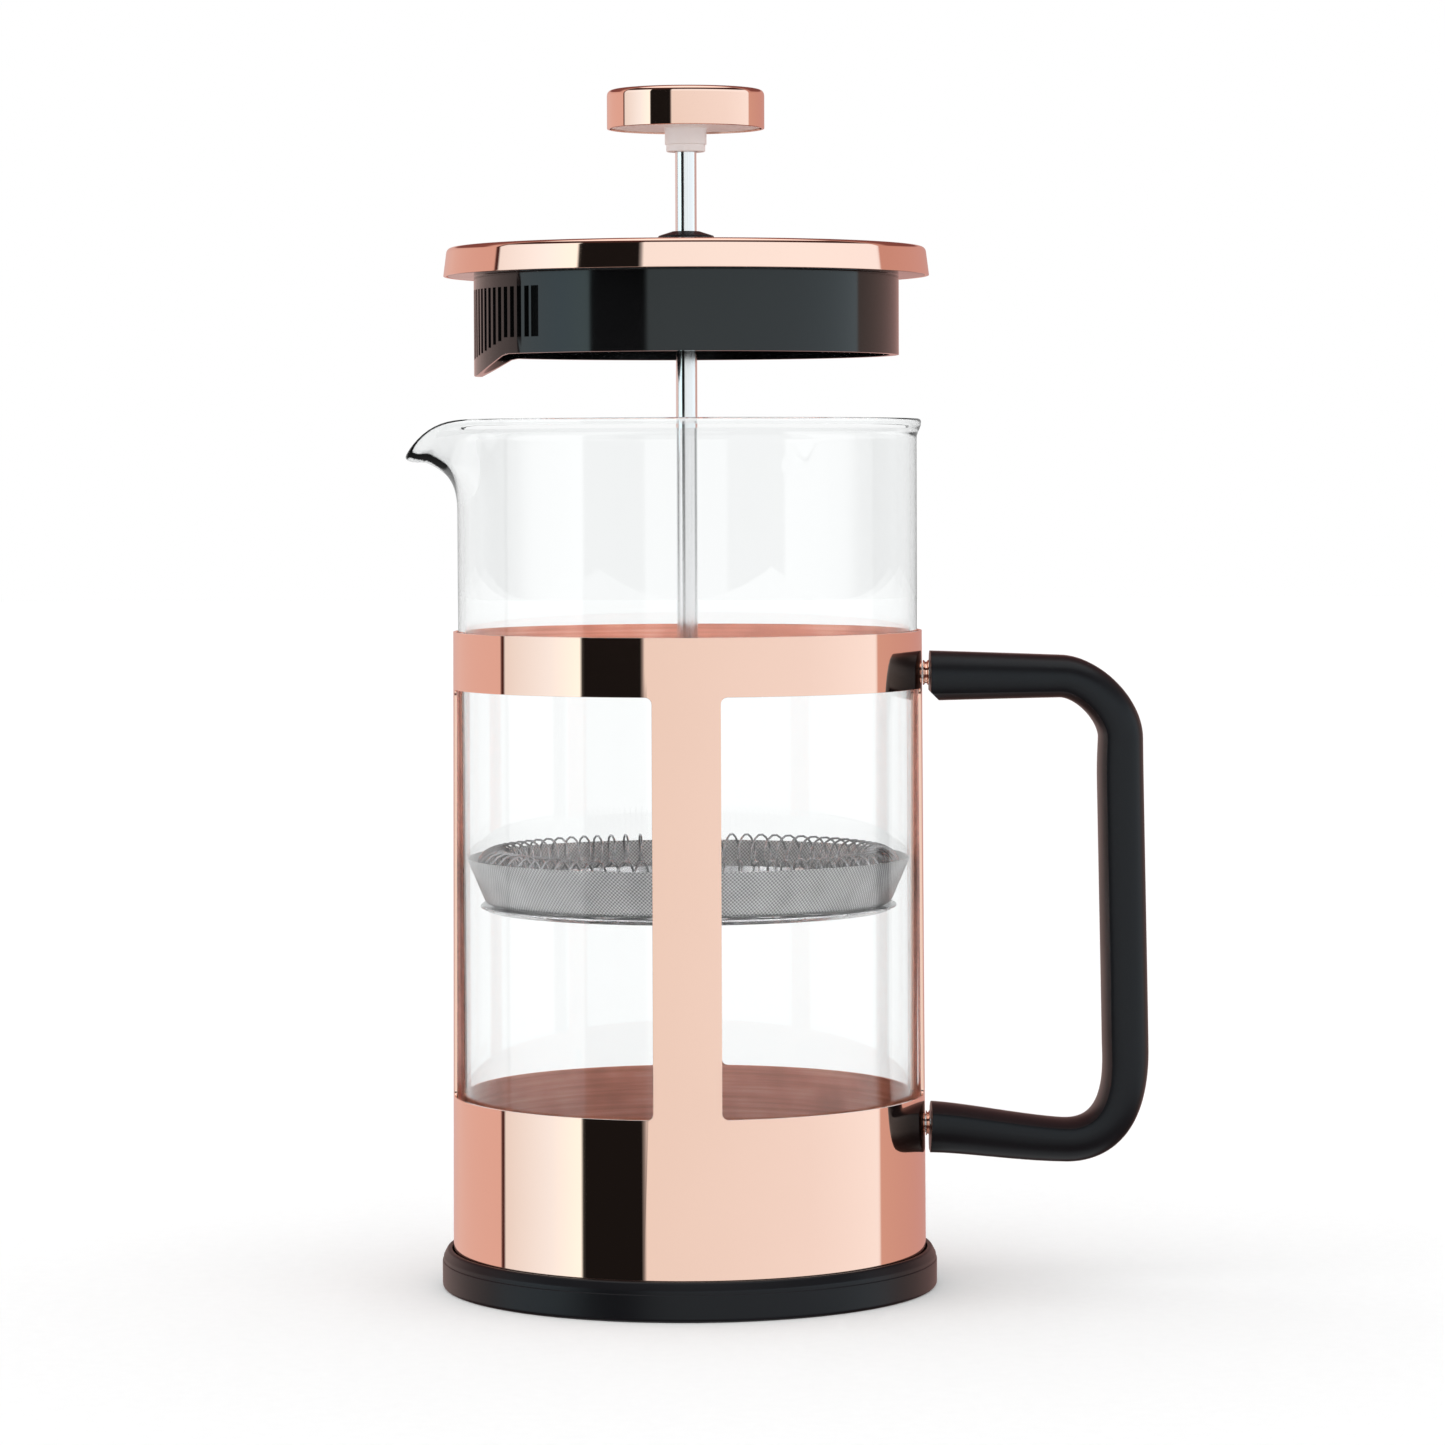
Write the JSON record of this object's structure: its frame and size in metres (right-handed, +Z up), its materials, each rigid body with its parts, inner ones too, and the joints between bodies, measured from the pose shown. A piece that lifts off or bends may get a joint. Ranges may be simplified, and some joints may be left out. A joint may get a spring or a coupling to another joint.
{
  "type": "french press",
  "caption": "One-litre glass french press in a plated sheet-metal frame with side handle, turning strainer lid and sprung plunger filter.",
  "frame": {"origin": "on the pot's axis, in the plane that the coaster stands on", "axes": "+Z up along the plunger rod, +X towards the handle, -X towards the spout"},
  "size_m": [0.1609, 0.1078, 0.2592],
  "materials": {
    "black_satin_plastic": "moulded, satin",
    "black_gloss_plastic": "moulded, gloss",
    "white_plastic": "moulded, satin",
    "copper_plated_steel": "polished copper-coloured plating",
    "stainless_steel": "bright drawn",
    "borosilicate_glass": "clear, fire polished"
  },
  "bodies": {
    "frame": {"base_coaster": "black_satin_plastic", "frame_shell": "copper_plated_steel", "handle_grip": "black_satin_plastic", "handle_spacer_upper": "copper_plated_steel", "handle_spacer_lower": "copper_plated_steel", "handle_screw_upper": "stainless_steel", "handle_screw_lower": "stainless_steel"},
    "beaker": {"glass_beaker": "borosilicate_glass"},
    "lid_guide": {"guide_bush": "black_gloss_plastic", "guide_nut": "black_gloss_plastic"},
    "lid": {"lid_cover": "copper_plated_steel", "lid_body": "black_gloss_plastic"},
    "plunger": {"plunger_rod": "stainless_steel", "knob_shell": "copper_plated_steel", "knob_core": "white_plastic", "rod_collar": "stainless_steel", "spring_plate": "stainless_steel", "coil_spring": "stainless_steel", "mesh_filter": "stainless_steel", "perforated_plate": "stainless_steel", "hub_nut": "stainless_steel"}
  },
  "joints": [
    {"name": "beaker_lift", "type": "slide", "parent": "frame", "child": "beaker", "axis": [0, 0, 1], "range_m": [0, 0.15]},
    {"name": "lid_lift", "type": "slide", "parent": "beaker", "child": "lid_guide", "axis": [0, 0, 1], "range_m": [-0.0306, 0.125]},
    {"name": "lid_turn", "type": "hinge", "parent": "lid_guide", "child": "lid", "pos_m": [0, 0, 0.2191], "axis": [0, 0, 1], "continuous": true},
    {"name": "plunge", "type": "slide", "parent": "lid_guide", "child": "plunger", "axis": [0, 0, 1], "range_m": [-0.0168, 0.1015]}
  ]
}
